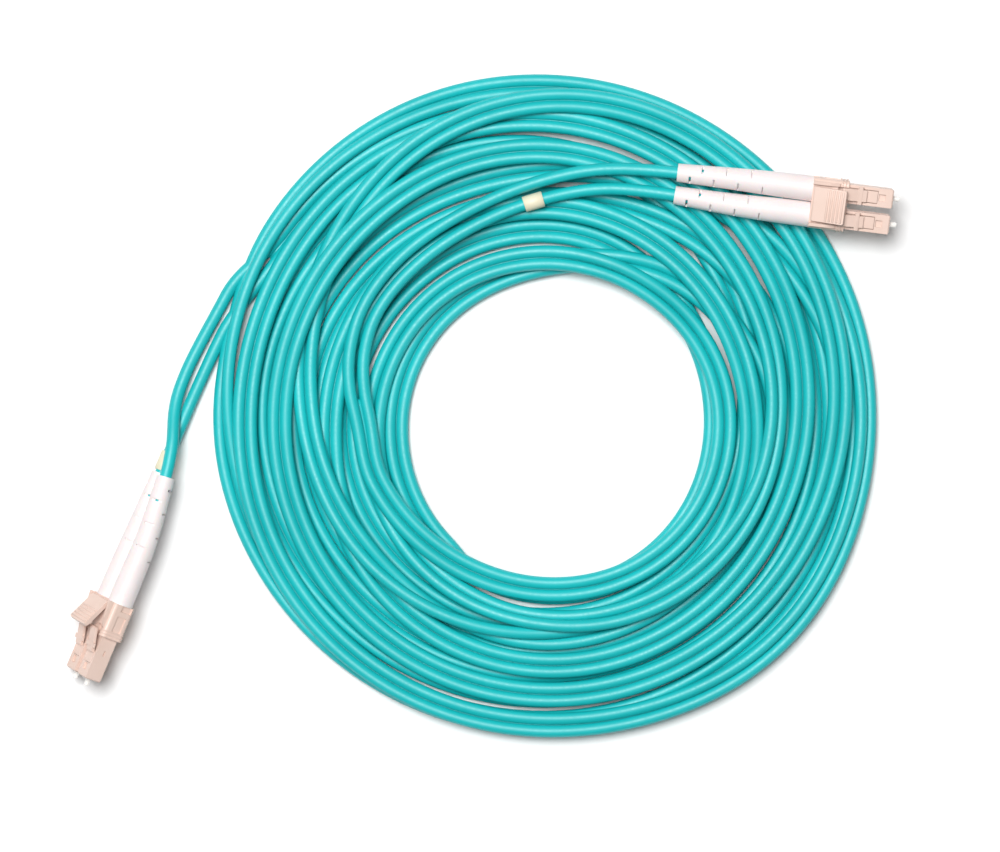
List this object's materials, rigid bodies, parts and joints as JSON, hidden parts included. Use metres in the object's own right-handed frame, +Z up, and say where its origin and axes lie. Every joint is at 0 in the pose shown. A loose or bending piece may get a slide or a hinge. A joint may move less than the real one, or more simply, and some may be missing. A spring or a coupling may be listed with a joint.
{
  "type": "fiber optic patch cord",
  "caption": "Aqua duplex fibre patch cord in a loose round hank, with a clipped LC plug pair, white boots and a latch trigger on each end.",
  "frame": {"origin": "the middle of the whole cord's box as it lies, on the surface it lies on", "axes": "+Z up from the surface; +X towards the plug pair that lies on the hank"},
  "size_m": [0.2005, 0.1604, 0.0189],
  "materials": {
    "jacket": "satin",
    "boot": "satin",
    "connector_plastic": "satin",
    "ceramic": "polished",
    "nickel": "polished",
    "spring_steel": "drawn",
    "crimp_metal": "satin",
    "buffer": "gloss",
    "marker": "satin"
  },
  "bodies": {
    "cord": {"coil": "jacket", "clip_a": "connector_plastic", "marker_ring_a": "marker", "housing_a1": "connector_plastic", "rear_body_a1": "connector_plastic", "crimp_sleeve_a1": "crimp_metal", "fibre_a1": "buffer", "boot_a1": "boot", "leg_a1": "jacket", "spring_a1": "spring_steel", "housing_a2": "connector_plastic", "rear_body_a2": "connector_plastic", "crimp_sleeve_a2": "crimp_metal", "fibre_a2": "buffer", "boot_a2": "boot", "leg_a2": "jacket", "spring_a2": "spring_steel", "clip_b": "connector_plastic", "marker_ring_b": "marker", "housing_b1": "connector_plastic", "rear_body_b1": "connector_plastic", "crimp_sleeve_b1": "crimp_metal", "fibre_b1": "buffer", "boot_b1": "boot", "leg_b1": "jacket", "spring_b1": "spring_steel", "housing_b2": "connector_plastic", "rear_body_b2": "connector_plastic", "crimp_sleeve_b2": "crimp_metal", "fibre_b2": "buffer", "boot_b2": "boot", "leg_b2": "jacket", "spring_b2": "spring_steel"},
    "trigger_a": {"trigger_a": "connector_plastic"},
    "latch_a1": {"latch_a1": "connector_plastic"},
    "ferrule_a1": {"ferrule_a1": "ceramic", "flange_a1": "nickel"},
    "latch_a2": {"latch_a2": "connector_plastic"},
    "ferrule_a2": {"ferrule_a2": "ceramic", "flange_a2": "nickel"},
    "trigger_b": {"trigger_b": "connector_plastic"},
    "latch_b1": {"latch_b1": "connector_plastic"},
    "ferrule_b1": {"ferrule_b1": "ceramic", "flange_b1": "nickel"},
    "latch_b2": {"latch_b2": "connector_plastic"},
    "ferrule_b2": {"ferrule_b2": "ceramic", "flange_b2": "nickel"}
  },
  "joints": [
    {"name": "trigger_a_press", "type": "hinge", "parent": "cord", "child": "trigger_a", "pos_m": [0.07941, 0.04826, 0.01559], "axis": [0.1217, 0.9773, 0.1736], "range_deg": [0, 12], "stiffness_Nm_per_rad": 0.002},
    {"name": "latch_a1_bend", "type": "hinge", "parent": "cord", "child": "latch_a1", "pos_m": [0.09437, 0.04981, 0.01436], "axis": [-0.1217, -0.9773, -0.1736], "range_deg": [0, 7.4]},
    {"name": "ferrule_a1_float", "type": "slide", "parent": "cord", "child": "ferrule_a1", "axis": [-0.9923, 0.1236, 0], "range_m": [0, 0.0008], "stiffness_N_per_m": 1200, "springref_m": -0.004, "deforming": ["spring_a1"]},
    {"name": "latch_a2_bend", "type": "hinge", "parent": "cord", "child": "latch_a2", "pos_m": [0.09361, 0.0437, 0.01328], "axis": [-0.1217, -0.9773, -0.1736], "range_deg": [0, 7.4]},
    {"name": "ferrule_a2_float", "type": "slide", "parent": "cord", "child": "ferrule_a2", "axis": [-0.9923, 0.1236, 0], "range_m": [0, 0.0008], "stiffness_N_per_m": 1200, "springref_m": -0.004, "deforming": ["spring_a2"]},
    {"name": "trigger_b_press", "type": "hinge", "parent": "cord", "child": "trigger_b", "pos_m": [-0.09154, -0.0463, 0.009], "axis": [0.5155, -0.2167, 0.829], "range_deg": [0, 21], "stiffness_Nm_per_rad": 0.002},
    {"name": "latch_b1_bend", "type": "hinge", "parent": "cord", "child": "latch_b1", "pos_m": [-0.09423, -0.06106, 0.01058], "axis": [-0.5155, 0.2167, -0.829], "range_deg": [0, 7.4]},
    {"name": "ferrule_b1_float", "type": "slide", "parent": "cord", "child": "ferrule_b1", "axis": [0.3875, 0.9219, 0], "range_m": [0, 0.0008], "stiffness_N_per_m": 1200, "springref_m": -0.004, "deforming": ["spring_b1"]},
    {"name": "latch_b2_bend", "type": "hinge", "parent": "cord", "child": "latch_b2", "pos_m": [-0.09745, -0.05971, 0.0054], "axis": [-0.5155, 0.2167, -0.829], "range_deg": [0, 7.4]},
    {"name": "ferrule_b2_float", "type": "slide", "parent": "cord", "child": "ferrule_b2", "axis": [0.3875, 0.9219, 0], "range_m": [0, 0.0008], "stiffness_N_per_m": 1200, "springref_m": -0.004, "deforming": ["spring_b2"]}
  ],
  "couplings": [
    {"joint": "latch_a1_bend", "follows": "trigger_a_press", "ratio": 0.6},
    {"joint": "latch_a2_bend", "follows": "trigger_a_press", "ratio": 0.6},
    {"joint": "latch_b1_bend", "follows": "trigger_b_press", "ratio": 0.35},
    {"joint": "latch_b2_bend", "follows": "trigger_b_press", "ratio": 0.35}
  ]
}
